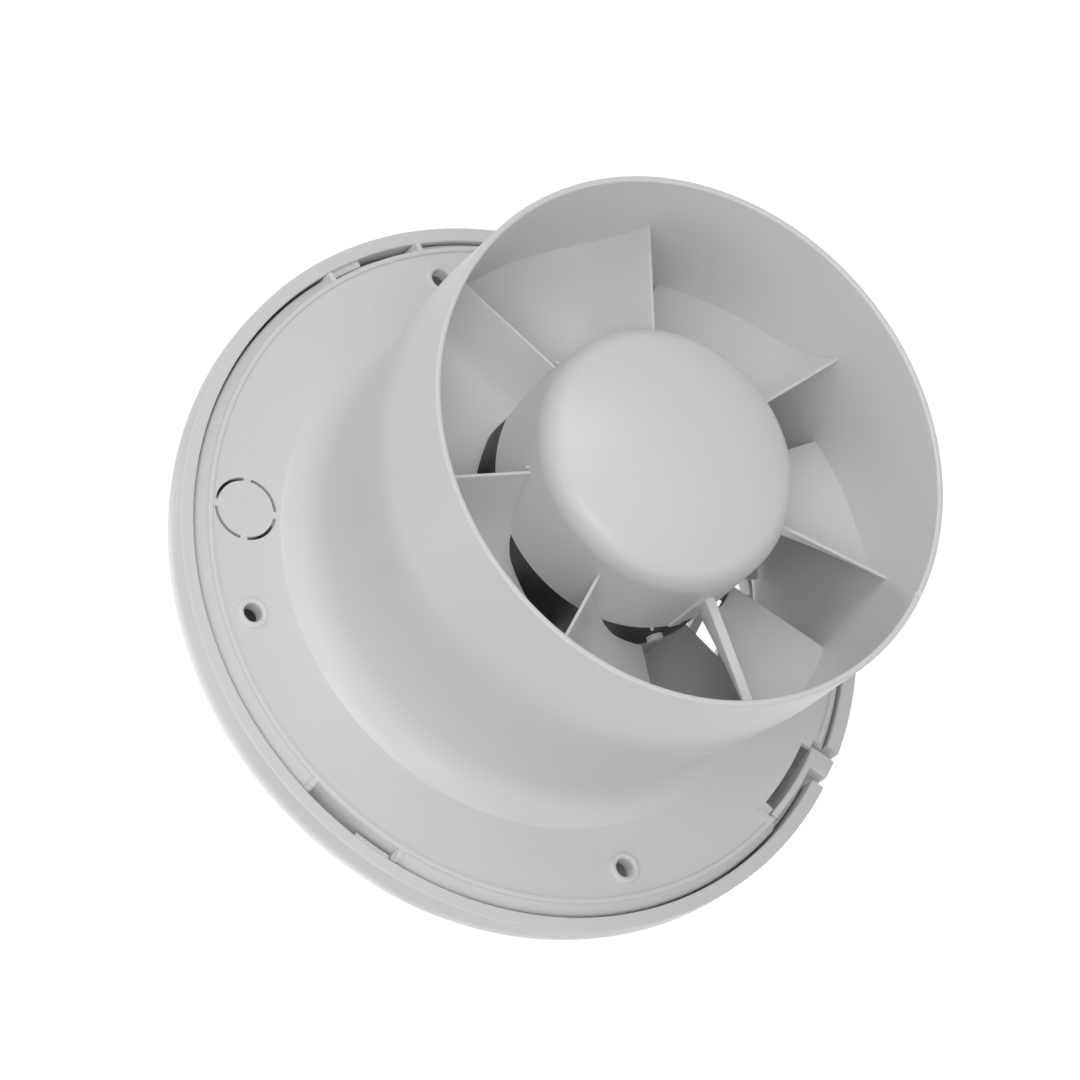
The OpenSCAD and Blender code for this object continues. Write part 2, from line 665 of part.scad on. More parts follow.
module lead_grommet() color([0.16, 0.16, 0.16]) at_angle(channel_angle) translate([0, lead_turn_y, 0])
    out_along_x() difference() {
        union() {
            translate([0, 0, skirt_in])
                cylinder(r = lead_r + grommet_t - press_fit, h = shield_r - skirt_in + grommet_h,
                         $fn = small_fn);
            translate([0, 0, shield_r + press_fit])
                cylinder(r = lead_r + grommet_t + grommet_lip, h = grommet_h, $fn = small_fn);
        }
        translate([0, 0, skirt_in - over])
            cylinder(r = lead_r + press_fit, h = shield_r - skirt_in + grommet_h + 2 * over, $fn = small_fn);
    }

// Impeller: hub with stiffening ribs and cambered, twisted blades
function blade_point(w, q, side) = let (
        r = hub_r - blade_root_in + (tip_r - hub_r + blade_root_in) * q,
        y0 = hub_front + blade_lead_root + (blade_lead_tip - blade_lead_root) * q,
        y1 = hub_front + blade_tail_root + (blade_tail_tip - blade_tail_root) * q,
        y = y0 + (y1 - y0) * (w - blade_camber_share * w * (1 - w)),
        run = r * blade_span_angle * PI / 180,
        rise = (y1 - y0) * (1 - blade_camber_share + 2 * blade_camber_share * w),
        n = norm([run, rise]),
        s = side * (blade_edge_t + (blade_t - blade_edge_t) * 4 * w * (1 - w)) / 2,
        a = blade_span_angle * (1 - w) + s * rise / n / r * 180 / PI
    ) [r * cos(a), y + s * run / n, r * sin(a)];
function blade_grid(side) = [
    for (i = [0 : blade_steps])
        [for (j = [0 : blade_rings]) blade_point(1 - i / blade_steps, j / blade_rings, side)]
];
module blade() skin(blade_grid(1), blade_grid(-1));
module hub_shell() turned(concat(
    [[shaft_r + press_fit, hub_front]],
    [for (k = [0 : fillet_steps]) let (a = quarter_angle * k / fillet_steps)
        [hub_r - hub_round + hub_round * sin(a), hub_front + hub_round - hub_round * cos(a)]],
    [[hub_r, hub_rear], [hub_r - hub_wall, hub_rear]],
    [for (k = [fillet_steps : -1 : 0]) let (a = quarter_angle * k / fillet_steps, f = hub_round - hub_wall)
        [hub_r - hub_round + f * sin(a), hub_front + hub_round - f * cos(a)]],
    [[hub_boss_r, hub_front + hub_wall], [hub_boss_r, hub_front + boss_len],
     [shaft_r + press_fit, hub_front + boss_len]]));
module impeller() color([0.84, 0.84, 0.84]) {
    hub_shell();
    for (k = [0 : blade_count - 1]) at_angle(blade_angle + 360 / blade_count * k) {
        blade();
        radial_bar(hub_boss_r - root, hub_r - hub_wall + root, hub_rib_t, hub_front + hub_wall / 2,
                   hub_front + hub_wall + hub_rib_len);
    }
}
nut_y = hub_front - washer_t - nut_h;
module impeller_washer() color([0.72, 0.72, 0.74])
    ring(washer_r, shaft_r + press_fit, hub_front - washer_t, hub_front, small_fn);
module impeller_nut() color([0.72, 0.72, 0.74]) difference() {
    along_y() translate([0, 0, nut_y]) cylinder(r = nut_af / sqrt(3), h = nut_h, $fn = 6);
    disc(shaft_r + press_fit, nut_y - over, nut_y + nut_h + over, small_fn);
}
module shaft() color([0.78, 0.78, 0.8]) disc(shaft_r, nut_y - shaft_out, rear_bush_end - gap, small_fn);
module rotor_core() color([0.5, 0.5, 0.52])
    ring(rotor_r, shaft_r + press_fit, core_front, core_rear);
module rotor_cage() color([0.78, 0.79, 0.8]) for (y = [core_front - cage_t, core_rear])
    ring(rotor_r - air_gap, rotor_r - air_gap - cage_w, y, y + cage_t);
module thrust_washers() color([0.85, 0.8, 0.6])
    for (y = [front_bush_y + bush_len + thrust_t / 4, rear_bush_end - bush_len / 2 - 5 / 4 * thrust_t])
        ring(thrust_r, shaft_r + press_fit, y, y + thrust_t, small_fn);

// Front cover, one moulding in two nodes: the rim with its hooks and the notch for the latch
// button, and the front ring with its collar
function cover_outer(k0, k1) = [
    for (k = [k0 : k1]) let (a = quarter_angle * k / edge_steps)
        [round_at + cover_round * cos(a), round_y - cover_round * sin(a)]
];
function cover_inner(k0, k1) = let (start = acos((rim_in - round_at) / inner_round)) [
    for (k = [k0 : k1]) let (a = start + (quarter_angle - start) * k / edge_steps)
        [round_at + inner_round * cos(a), round_y - inner_round * sin(a)]
];
module cover_rim() color([0.87, 0.87, 0.88]) {
    difference() {
        turned(concat([[cover_r, -cover_rim_y]], cover_outer(0, outer_split),
                      back(cover_inner(0, inner_split)), [[rim_in, -cover_rim_y]]));
        at_angle(channel_angle) translate([base_r, -cover_rim_y - notch_depth, -notch_far])
            cube([cover_r - base_r + over, notch_depth + over, notch_w]);
    }
    for (a = catch_angles)
        ring_part(rim_in + root, rim_in - hook_reach, a - catch_half_angle, a + catch_half_angle,
                  -cover_rim_y - hook_depth, -cover_rim_y + hook_back);
}
module front_cover() color([0.87, 0.87, 0.88])
    turned(concat(cover_outer(outer_split, edge_steps),
                  [[opening_r, face_y], [opening_r, face_y + collar_h],
                   [opening_r + collar_t, face_y + collar_h], [opening_r + collar_t, face_y + cover_wall]],
                  back(cover_inner(inner_split, edge_steps))));
bar_count = floor((opening_r - bar_t) / bar_pitch);
module grille_bars() color([0.84, 0.84, 0.86]) intersection() {
    union() {
        for (k = [-bar_count : bar_count])
            translate([-opening_r, face_y, k * bar_pitch - bar_t / 2])
                cube([2 * opening_r, bar_depth, bar_t]);
        translate([-mid_rib_t / 2, bar_back - mid_rib_depth, -opening_r])
            cube([mid_rib_t, mid_rib_depth, 2 * opening_r]);
    }
    disc(opening_r, face_y - over, bar_back + over);
}

// Release latch: a sprung arm in the base rim with a button in the cover's notch
module release_latch() color([0.87, 0.87, 0.87]) {
    ring_part(arm_ro, arm_ri, latch_tip_angle, latch_root_angle, -arm_depth, -arm_set);
    at_angle(channel_angle) {
        translate([arm_ri, -button_set - button_depth, -button_w - button_edge])
            cube([button_reach + arm_t - button_round, button_depth, button_w]);
        translate([arm_ro + button_reach - button_round, -button_set - button_depth / 2,
                   -button_w - button_edge])
            cylinder(r = button_round, h = button_w, $fn = small_fn);
    }
}

duct_tube();
base_plate();
base_rim();
motor_cup();
guide_vanes();
motor_shield();
shield_plug();
cup_rings();
stator_core();
coil_bobbins();
pole_windings();
rear_bracket();
front_bush();
rear_bush();
motor_screws();
terminal_block();
terminal_screws();
terminal_cover();
cable_clamp();
clamp_screws();
motor_lead();
lead_grommet();
impeller();
impeller_nut();
impeller_washer();
shaft();
rotor_core();
rotor_cage();
thrust_washers();
cover_rim();
front_cover();
grille_bars();
release_latch();
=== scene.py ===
# %% [markdown]
# # A round bathroom exhaust fan, seen from its duct side
# The real object is a moulded plastic wall fan for a 150 mm duct. Its base plate and duct tube are one
# moulding, seven guide vanes carry a domed motor cup, and a round cover closes the room side. The packed
# CAD model is loaded first and never changed: every new piece is built round it, in the same frame, in
# metres.

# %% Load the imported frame
import math
import bmesh
import bpy
from mathutils import Matrix, Vector


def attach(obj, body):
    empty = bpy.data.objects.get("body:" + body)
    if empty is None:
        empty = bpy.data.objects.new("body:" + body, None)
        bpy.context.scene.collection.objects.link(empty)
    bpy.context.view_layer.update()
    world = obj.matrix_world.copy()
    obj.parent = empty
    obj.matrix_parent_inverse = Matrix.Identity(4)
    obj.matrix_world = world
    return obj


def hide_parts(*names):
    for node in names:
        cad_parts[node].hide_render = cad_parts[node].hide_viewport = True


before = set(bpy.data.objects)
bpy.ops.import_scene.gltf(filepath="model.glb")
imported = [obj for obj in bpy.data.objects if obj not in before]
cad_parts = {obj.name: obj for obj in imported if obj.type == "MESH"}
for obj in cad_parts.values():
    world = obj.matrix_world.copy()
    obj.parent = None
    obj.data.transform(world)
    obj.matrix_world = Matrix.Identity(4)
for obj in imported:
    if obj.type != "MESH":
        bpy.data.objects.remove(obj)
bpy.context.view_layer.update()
print("nodes loaded:", len(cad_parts))

# %% [markdown]
# ## Helpers for turned shapes
# Most of a duct fan is round about one axis, so a lathe is the natural tool: a flat outline is drawn, its
# corners are rounded with a vertex bevel, and the outline is spun about the fan's axis. Millimetres are
# used for the outline because a maker's drawing does, and one factor turns them into metres.

# %% The lathe
MM = 0.001
ORIGIN = (0, 0, 0)
FULL_TURN = 2 * math.pi
SAME_SPOT = 2e-6


def at(radius, angle, y):
    """A point at this radius and angle round the fan's axis, from millimetres and degrees."""
    a = math.radians(angle)
    return Vector((radius * math.cos(a), y, radius * math.sin(a))) * MM


def arc(centre_r, centre_y, radius, start, end, count):
    """Outline points on an arc, angles from +r towards +y."""
    turns = [math.radians(start + (end - start) * i / count) for i in range(count + 1)]
    return [(centre_r + radius * math.cos(t), centre_y + radius * math.sin(t), 0) for t in turns]


def rounded_outline(corners):
    """A flat face with one vertex per corner (radius, y, rounding), the larger roundings in finer steps."""
    bm = bmesh.new()
    verts = [bm.verts.new((r * MM, y * MM, 0)) for r, y, _ in corners]
    bm.faces.new(verts)
    for size in sorted({c[2] for c in corners if c[2] > 0}):
        chosen = [v for v, c in zip(verts, corners) if c[2] == size]
        steps = max(2, min(16, round(3 + size * 1.6)))
        bmesh.ops.bevel(bm, geom=chosen, offset=size * MM, offset_type="OFFSET", segments=steps,
                        profile=0.5, affect="VERTICES", material=-1)
    return bm


def close_up(bm):
    """Merges doubles and turns all faces outwards."""
    bmesh.ops.remove_doubles(bm, verts=bm.verts, dist=SAME_SPOT)
    bmesh.ops.recalc_face_normals(bm, faces=bm.faces)
    return bm


def lathe(corners, steps):
    """The closed solid that an outline makes when it is spun all the way round."""
    bm = rounded_outline(corners)
    bmesh.ops.delete(bm, geom=list(bm.faces), context="FACES_ONLY")
    on_axis = [e for e in bm.edges if all(abs(v.co.x) < 1e-9 for v in e.verts)]
    bmesh.ops.delete(bm, geom=on_axis, context="EDGES")
    bmesh.ops.spin(bm, geom=list(bm.verts) + list(bm.edges), cent=ORIGIN, axis=(0, 1, 0),
                   dvec=ORIGIN, angle=FULL_TURN, steps=steps, use_merge=True)
    return close_up(bm)


print("points nearer than this are one, in mm:", SAME_SPOT / MM)

# %% [markdown]
# ## Helpers for what isn't a full turn
# Ribs, pockets and the latch follow the rim for a few degrees only. A face that is spun part of the way
# makes those that are curved, and a small block makes those that are straight. Both are drawn at the fan's
# +X side and then turned to their angle, as a maker would turn the work in the chuck.

# %% Sweeps, blocks and soft edges
def placed(bm, vec):
    """Moves a mesh by a distance in metres."""
    bmesh.ops.translate(bm, verts=bm.verts, vec=vec)
    return bm


def turned(bm, angle):
    """Turns a mesh round the fan's axis, in degrees."""
    bmesh.ops.rotate(bm, verts=bm.verts, cent=ORIGIN, matrix=Matrix.Rotation(-math.radians(angle), 3, "Y"))
    return bm


def fill_gaps(bm):
    """Closes each hole in a mesh with a face."""
    gaps = [e for e in bm.edges if len(e.link_faces) == 1]
    if gaps:
        bmesh.ops.holes_fill(bm, edges=gaps, sides=0)
    return bm


def sweep(corners, start, end, steps):
    """The solid that an outline makes when it is spun from one angle to another."""
    bm = turned(rounded_outline(corners), start)
    bmesh.ops.spin(bm, geom=list(bm.verts) + list(bm.edges) + list(bm.faces), cent=ORIGIN,
                   axis=(0, -1, 0), dvec=ORIGIN, angle=math.radians(end - start), steps=steps)
    bmesh.ops.remove_doubles(bm, verts=bm.verts, dist=SAME_SPOT)
    return close_up(fill_gaps(bm))


def pocket(r0, r1, y0, y1, start, end, steps):
    """A cutter with square corners that follows the rim."""
    return sweep([(r0, y0, 0), (r1, y0, 0), (r1, y1, 0), (r0, y1, 0)], start, end, steps)


def soften(bm, edges, size, steps=3):
    """A moulded edge: a small round bevel."""
    bmesh.ops.bevel(bm, geom=edges, offset=size * MM, offset_type="OFFSET", segments=steps, profile=0.5,
                    affect="EDGES", clamp_overlap=True, material=-1)
    return bm


def sharp_edges(bm):
    """The edges at which two faces meet at more than 50 degrees."""
    limit = math.radians(50)
    return [e for e in bm.edges if len(e.link_faces) == 2 and e.calc_face_angle(0) > limit]


def box(sides, centre):
    """A straight block with these sides and this middle, in millimetres."""
    bm = bmesh.new()
    bmesh.ops.create_cube(bm, size=1)
    bmesh.ops.scale(bm, verts=bm.verts, vec=[side * MM for side in sides])
    return placed(bm, [place * MM for place in centre])


def block(r0, r1, width, y0, y1, angle, rounding):
    """A rib that stands out radially at this angle."""
    bm = box((r1 - r0, y1 - y0, width), ((r0 + r1) / 2, (y0 + y1) / 2, 0))
    return turned(soften(bm, list(bm.edges), rounding, 2), angle)


print("a cube has", len(sharp_edges(box((1, 1, 1), ORIGIN))), "sharp edges to soften")

# %% [markdown]
# ## Helpers that join and cut
# A moulding with ribs and pockets is closed only if its parts are truly joined, so the exact boolean does
# that on whole meshes. It can lose a very thin face, so gaps are filled after it. Parts that only rest on
# each other are gathered in one mesh without a cut.

# %% Join and cut
def gather(*shapes):
    """Several closed shapes in one mesh."""
    whole = bmesh.new()
    for shape in shapes:
        mesh = bpy.data.meshes.new("gathered")
        shape.to_mesh(mesh)
        shape.free()
        whole.from_mesh(mesh)
        bpy.data.meshes.remove(mesh)
    return whole


def carve(bm, cutter, operation="DIFFERENCE"):
    """Cuts one closed mesh with another, or joins them, and gives the result as a new mesh."""
    made = []
    for name, shape in (("carved", bm), ("cutter", cutter)):
        mesh = bpy.data.meshes.new(name)
        shape.to_mesh(mesh)
        shape.free()
        made.append(bpy.data.objects.new(name, mesh))
        bpy.context.scene.collection.objects.link(made[-1])
    tool = made[0].modifiers.new("carve", "BOOLEAN")
    tool.solver = "EXACT"
    tool.operation = operation
    tool.object = made[1]
    bpy.context.view_layer.update()
    evaluated = made[0].evaluated_get(bpy.context.evaluated_depsgraph_get())
    result = bmesh.new()
    result.from_mesh(evaluated.to_mesh())
    evaluated.to_mesh_clear()
    for obj in made:
        mesh = obj.data
        bpy.data.objects.remove(obj)
        bpy.data.meshes.remove(mesh)
    bmesh.ops.remove_doubles(result, verts=result.verts, dist=SAME_SPOT / 2)
    return fill_gaps(result)


pierced = carve(box((3, 3, 1), ORIGIN), box((1, 1, 2), ORIGIN))
print("a plate with a square hole has", len(pierced.verts), "corners")
pierced.free()

# %% [markdown]
# ## A helper that finishes a piece
# Moulded plastic is smooth where it curves and crisp where two walls meet. The faces are shaded smooth, an
# edge stays crisp above a set angle, and large flat faces count most for the shading, so that the small
# round edges don't darken them. The same helper gives the piece its material and its body.

# %% Finish a piece
CREASE = 32


def shade(made):
    """Smooth faces, with crisp edges where two faces meet at more than the crease angle."""
    made.data.shade_smooth()
    made.data.set_sharp_from_angle(angle=math.radians(CREASE))
    weighted = made.modifiers.new("even_normals", "WEIGHTED_NORMAL")
    weighted.keep_sharp = True
    weighted.weight = 60


def dress(obj, finish):
    """Gives an object one finish."""
    obj.data.materials.clear()
    obj.data.materials.append(FINISHES[finish])


def piece(name, bm, body, finish, replaced):
    """Turns a mesh into a finished piece that rides on its body."""
    mesh = bpy.data.meshes.new(name)
    bm.to_mesh(mesh)
    bm.free()
    made = bpy.data.objects.new(name, mesh)
    bpy.context.scene.collection.objects.link(made)
    dress(made, finish)
    shade(made)
    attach(made, body)
    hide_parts(*replaced)
    print(name, "faces:", len(made.data.polygons))


print("edges stay crisp above:", CREASE, "degrees")

# %% [markdown]
# ## Moulded plastic
# Injection-moulded plastic is never one flat colour. It has a very fine mould grain that breaks up the
# highlights, faint clouds of lighter and darker resin, and flow lines near its gates. Three noise textures
# at three scales stand for these: the finest drives the bump, the middle one the gloss and the widest the
# colour.

# %% Node helpers
def nodes_of(name):
    """A new material, its node tree and its main shader."""
    material = bpy.data.materials.new(name)
    material.use_nodes = True
    tree = material.node_tree
    return material, tree, tree.nodes["Principled BSDF"]


def add(tree, kind, **settings):
    """A node with its settings and unlinked inputs set."""
    node = tree.nodes.new(kind)
    for key, value in settings.items():
        if key in node.inputs:
            node.inputs[key].default_value = value
        else:
            setattr(node, key, value)
    return node


def noise(tree, coordinates, scale, detail):
    """A noise texture in object space."""
    node = add(tree, "ShaderNodeTexNoise", Scale=scale, Detail=detail)
    tree.links.new(coordinates, node.inputs["Vector"])
    return node.outputs["Fac"]


def ramp(tree, source, low, high, low_value, high_value):
    """Maps a value from one range to another and stays inside it."""
    node = add(tree, "ShaderNodeMapRange",
               **{"From Min": low, "From Max": high, "To Min": low_value, "To Max": high_value})
    tree.links.new(source, node.inputs["Value"])
    return node.outputs["Result"]


def tint(tree, factor, first, second):
    """A colour between two, by a factor."""
    node = add(tree, "ShaderNodeMix", data_type="RGBA")
    node.inputs["A"].default_value = (*first, 1)
    node.inputs["B"].default_value = (*second, 1)
    tree.links.new(factor, node.inputs["Factor"])
    return node.outputs["Result"]


def emboss(tree, shader, pattern, strength, depth):
    """Lets a pattern stand out of the surface by a part of a millimetre."""
    bump = add(tree, "ShaderNodeBump", Strength=strength, Distance=depth * MM)
    tree.links.new(pattern, bump.inputs["Height"])
    tree.links.new(bump.outputs["Normal"], shader.inputs["Normal"])


print("materials before the finishes:", len(bpy.data.materials))

# %% The plastic
CLOUD_SCALE = 9
GLOSS_SCALE = 30
GRAIN_SCALE = 2600
PLASTIC_IOR = 1.5


def plastic(name, light, dark, gloss, grain, grain_scale=GRAIN_SCALE):
    """Moulded plastic with mould grain, cloudy resin and uneven gloss."""
    material, tree, shader = nodes_of(name)
    where = add(tree, "ShaderNodeTexCoord").outputs["Object"]
    clouds = ramp(tree, noise(tree, where, CLOUD_SCALE, 4), 0.25, 0.75, 0, 1)
    tree.links.new(tint(tree, clouds, light, dark), shader.inputs["Base Color"])
    patches = ramp(tree, noise(tree, where, GLOSS_SCALE, 1), 0.2, 0.8, *gloss)
    tree.links.new(patches, shader.inputs["Roughness"])
    emboss(tree, shader, noise(tree, where, grain_scale, 2), grain, 0.2)
    shader.inputs["IOR"].default_value = PLASTIC_IOR
    return material


print("mould grain of about, in mm:", round(1 / GRAIN_SCALE / MM, 2))

# %% [markdown]
# ## Bare metal
# The motor's steel, copper and bronze are turned, stamped or wound, and each leaves fine marks along one
# direction. One noise texture that is squeezed along an axis gives these marks. It drives the colour, the
# gloss and the bump together, so that a scratch is darker, rougher and deeper at the same place.

# %% The metal
def metal(name, light, dark, gloss, brushed=(1, 1, 1), scale=400):
    """Bare metal with fine machining marks along one direction."""
    material, tree, shader = nodes_of(name)
    where = add(tree, "ShaderNodeTexCoord").outputs["Object"]
    stretch = add(tree, "ShaderNodeMapping", Scale=brushed)
    tree.links.new(where, stretch.inputs["Vector"])
    marks = noise(tree, stretch.outputs["Vector"], scale, 4)
    tree.links.new(tint(tree, ramp(tree, marks, 0.3, 0.7, 0, 1), light, dark), shader.inputs["Base Color"])
    tree.links.new(ramp(tree, marks, 0.3, 0.7, *gloss), shader.inputs["Roughness"])
    emboss(tree, shader, marks, 0.15, 0.1)
    shader.inputs["Metallic"].default_value = 1
    return material


print("makers of finishes:", plastic.__name__, "and", metal.__name__)

# %% [markdown]
# ## The finishes
# The photographed fan is off-white throughout. The base and tube share one resin, the cover is a shade
# cooler, and the shield in front of the motor is black. The inner motor pieces get the steel, copper and
# bronze that such a motor has, because the cover comes off and the part is seen from every side. The cup is
# of the base's resin, and its colour is painted a little darker and cooler as painted shade from the duct.

# %% One material per finish
WHITE_GLOSS = (0.29, 0.33)
FINISHES = {
    "housing": plastic("housing_plastic", (0.8, 0.792, 0.792), (0.785, 0.776, 0.778), WHITE_GLOSS, 0.02),
    # The cup's colour is painted shade: a darker, cooler copy of the base's resin, for the shade in the
    # duct.
    "cup": plastic("cup_plastic_painted_shade", (0.78, 0.78, 0.795), (0.765, 0.765, 0.78), WHITE_GLOSS, 0.02),
    "cover": plastic("cover_plastic", (0.795, 0.795, 0.81), (0.78, 0.78, 0.795), WHITE_GLOSS, 0.02),
    # The impeller's light grey plastic is painted darker here, as painted shade for its place deep in the
    # duct.
    "impeller": plastic("impeller_plastic", (0.62, 0.61, 0.61), (0.58, 0.57, 0.57), (0.34, 0.4), 0.03),
    "black": plastic("black_plastic", (0.022, 0.021, 0.02), (0.017, 0.016, 0.016), (0.36, 0.46), 0.1),
    "light": plastic("light_plastic", (0.72, 0.71, 0.67), (0.68, 0.67, 0.63), (0.4, 0.5), 0.06),
    "rubber": plastic("black_rubber", (0.016, 0.016, 0.016), (0.012, 0.012, 0.012), (0.7, 0.85), 0.3,
                      1800),
    "sheath": plastic("lead_sheath", (0.6, 0.6, 0.59), (0.55, 0.55, 0.54), (0.45, 0.55), 0.1, 1500),
    "lamination": metal("lamination_steel", (0.38, 0.39, 0.41), (0.2, 0.205, 0.215), (0.4, 0.55),
                        (1, 60, 1), 30),
    "steel": metal("bright_steel", (0.66, 0.66, 0.68), (0.52, 0.52, 0.54), (0.28, 0.36), (1, 30, 1), 120),
    "aluminium": metal("cage_aluminium", (0.74, 0.75, 0.77), (0.62, 0.63, 0.65), (0.35, 0.5)),
    "bronze": metal("bush_bronze", (0.5, 0.33, 0.15), (0.36, 0.23, 0.1), (0.4, 0.55), (1, 1, 1), 1200),
    "copper": metal("winding_copper", (0.62, 0.25, 0.11), (0.3, 0.11, 0.05), (0.28, 0.38), (1, 90, 1), 30),
}
print("finishes:", len(FINISHES))

# %% [markdown]
# ## The sizes that several pieces share
# The tube narrows from its mouth to the throat in one soft curve, level at both ends. The vanes end on this
# curve and the cable channel bulges out of it, so it is written once as a function of the distance down the
# duct. At its foot the tube flares out in a plain arc, which meets the plate in a clear line.

# %% The tube's curve
WALL = 1.7
TUBE_END = 96.2
MOUTH_R = 74.0
WAIST_R = 67.3
WAIST_Y = 6.7
LAND_Y = 72.2
ROWS = 22


def ease(t):
    """From 0 to 1, level at both ends."""
    t = min(1.0, max(0.0, t))
    return t * t * (3 - 2 * t)


def tube_r(y):
    """Outer radius of the tube at this distance behind the wall plane."""
    return WAIST_R + (MOUTH_R - WAIST_R) * ease((y - WAIST_Y) / (LAND_Y - WAIST_Y))


first_row = WAIST_Y + 1.3
stations = [first_row + (LAND_Y - first_row) * i / ROWS for i in range(ROWS + 1)]
print("tube radius at the mouth and waist:", tube_r(TUBE_END), tube_r(0))

# %% The flare's foot
PLATE_BACK = -0.8
FLARE_R = 15.0
FOOT_R = 74.3
FLARE_ROWS = 14
flare_height = math.sqrt(FLARE_R ** 2 - (FLARE_R - FOOT_R + WAIST_R) ** 2)
FLARE_TOP = PLATE_BACK + flare_height
flare_stations = [PLATE_BACK + flare_height * (1 - i / FLARE_ROWS) for i in range(FLARE_ROWS)]


def outer_r(y):
    """Outer radius of the tube with its flare."""
    drop = min(FLARE_R, max(0.0, FLARE_TOP - y))
    return tube_r(y) + FLARE_R - math.sqrt(FLARE_R ** 2 - drop ** 2)


print("flare reaches up to:", round(FLARE_TOP, 1))

# %% [markdown]
# ## Base plate and duct tube
# This is one moulding, so it is one piece: a single outline runs round the ridge, the side wall, the plate,
# the bell-shaped inlet and the tube, and is spun once. A plate and a tube that are made apart would leave a
# seam where the real one has none.

# %% Spin the base and tube
PLATE_FRONT = -2.5
BASE_FRONT = -15
RIDGE_R = 94.1
RIDGE_OUT = 95.5
SIDE_R = 97.85
INLET_ROUND = 9.2
SPIGOT_FROM = 84
rim = [(RIDGE_R, PLATE_BACK, 0.25), (RIDGE_R, 0, 0.35), (RIDGE_OUT, 0, 0.4), (RIDGE_OUT + 0.1, -0.9, 0.3),
       (SIDE_R, -4.6, 0.8), (SIDE_R, BASE_FRONT, 0.5), (RIDGE_R, BASE_FRONT, 0.4)]
plate_front = [(RIDGE_R, PLATE_FRONT, 0.5), (90, PLATE_FRONT, 0), (76.5, PLATE_FRONT, 0),
               (tube_r(0) - WALL, PLATE_FRONT, INLET_ROUND)]
inner_wall = [(tube_r(y) - WALL, y, 0) for y in stations]
mouth = [(MOUTH_R - WALL, SPIGOT_FROM, 0), (MOUTH_R - WALL, TUBE_END, 0.7), (MOUTH_R, TUBE_END, 0.7),
         (MOUTH_R, SPIGOT_FROM, 0)]
outer_rows = [y for y in reversed(stations) if y > FLARE_TOP] + flare_stations
outer_wall = [(outer_r(y), y, 0) for y in outer_rows]
plate_back = [(FOOT_R, PLATE_BACK, 0.3), (80, PLATE_BACK, 0), (92, PLATE_BACK, 0)]
base = lathe(rim + plate_front + inner_wall + mouth + outer_wall + plate_back, 320)
print("faces in the turned base:", len(base.faces))

# %% [markdown]
# ## Cable channel
# A half-round channel runs down the lowest side of the tube, and the motor's lead lies in it. A second tube
# could be joined to the wall, but the mould blends the two in a soft hollow line. So the points of the spun
# wall that lie within the channel's reach are pushed outwards instead. Further down the duct the channel's
# middle moves inwards, until it fades into the wall.

# %% Push out the cable channel
CHANNEL_AT = 64.8
CHANNEL_BORE = 12.2
CHANNEL_BLEND = 1.8
CHANNEL_HALF = math.radians(14)
CHANNEL_LIMIT = 78
FADE_FROM = 42.0
FADE_LENGTH = 22.0
FADE_DEPTH = 8


def channel_r(off, y):
    """Radius of the half round channel at this angle from its middle, or nothing beside it."""
    centre = CHANNEL_AT - FADE_DEPTH * ease((y - FADE_FROM) / FADE_LENGTH)
    rest = CHANNEL_BORE ** 2 - (centre * math.sin(off)) ** 2
    return centre * math.cos(off) + math.sqrt(rest) if rest > 0 else 0


def blended(a, b, soft):
    """The larger of two radii, with a soft hollow where they meet."""
    near = max(0.0, soft - abs(a - b)) / soft
    return max(a, b) + soft * near * near / 4


def in_channel(off, y, r):
    """True on the outer wall within the channel's reach, down to the plate."""
    along = PLATE_BACK - 0.1 < y < FADE_FROM + FADE_LENGTH
    return abs(off) < CHANNEL_HALF and along and outer_r(y) - WALL / 3 < r < CHANNEL_LIMIT


pushed = 0
for v in base.verts:
    y = v.co.y / MM
    r = math.hypot(v.co.x, v.co.z) / MM
    off = math.atan2(v.co.z, v.co.x) + math.pi / 2
    if in_channel(off, y, r):
        wanted = blended(r, channel_r(off, y), CHANNEL_BLEND)
        v.co.x *= wanted / r
        v.co.z *= wanted / r
        pushed += wanted > r
print("verts in the channel's bulge:", pushed)

# %% [markdown]
# ## Ribs, bosses and mould marks
# Pairs of short ribs guide the cover's hooks, four round bosses take the wall screws, and faint rings show
# where the mould's pins pushed the plate out. Each is a small closed shape that sinks into the plate, and
# one boolean joins them all, before any hole is cut through them.

# %% Ribs, bosses and mould marks
SCREW_AT = 86.6
SCREW_ANGLES = (45, 135, 225, 315)
CATCHES = (6, 124, 242)
RIB_OFF = 8.9
LATCH_ROOT = -77.2
MARK_AT = 87
MARK_ANGLES = (-62.7, -28.7, 115.5)
mark_top = PLATE_BACK + 0.07
boss_outline = [(0, -4.6, 0), (4.5, -4.6, 0.3), (4.5, 0.1, 0.9), (0, 0.1, 0)]
mark_outline = [(5.2, -1.6, 0), (5.6, -1.6, 0), (5.6, mark_top, 0.03), (5.2, mark_top, 0.03)]
ribs = [block(94.6, 98.2, 1.6, -10, -0.4, a + off, 0.3) for a in CATCHES for off in (-RIB_OFF, RIB_OFF)]
ribs.append(block(90.4, 95.2, 2.4, -6, 0, LATCH_ROOT + 1.4, 0.3))
bosses = [placed(lathe(boss_outline, 64), at(SCREW_AT, a, 0)) for a in SCREW_ANGLES]
marks = [placed(lathe(mark_outline, 64), at(MARK_AT, a, 0)) for a in MARK_ANGLES]
base = carve(base, gather(*ribs, *bosses, *marks), "UNION")
print("faces with ribs and bosses:", len(base.faces))

# %% [markdown]
# ## The holes in the base
# The screws sink into round lips, and four curved slots leave a round of plastic that is knocked out for
# the cable. The rim has a room for the latch and one for each of the cover's hooks. All cutters reach a
# little past the surface, because a cut that ends exactly on a face leaves a film.

# %% Cut the holes
ABOVE = 1.2
KNOCKOUT = at(84.6, 65, 0)
SLOT_FROM = 72.5
SLOT_LENGTH = 77
NOTCH_AT = at(73.2, -90, TUBE_END)
NOTCH_SIDE = 1.6


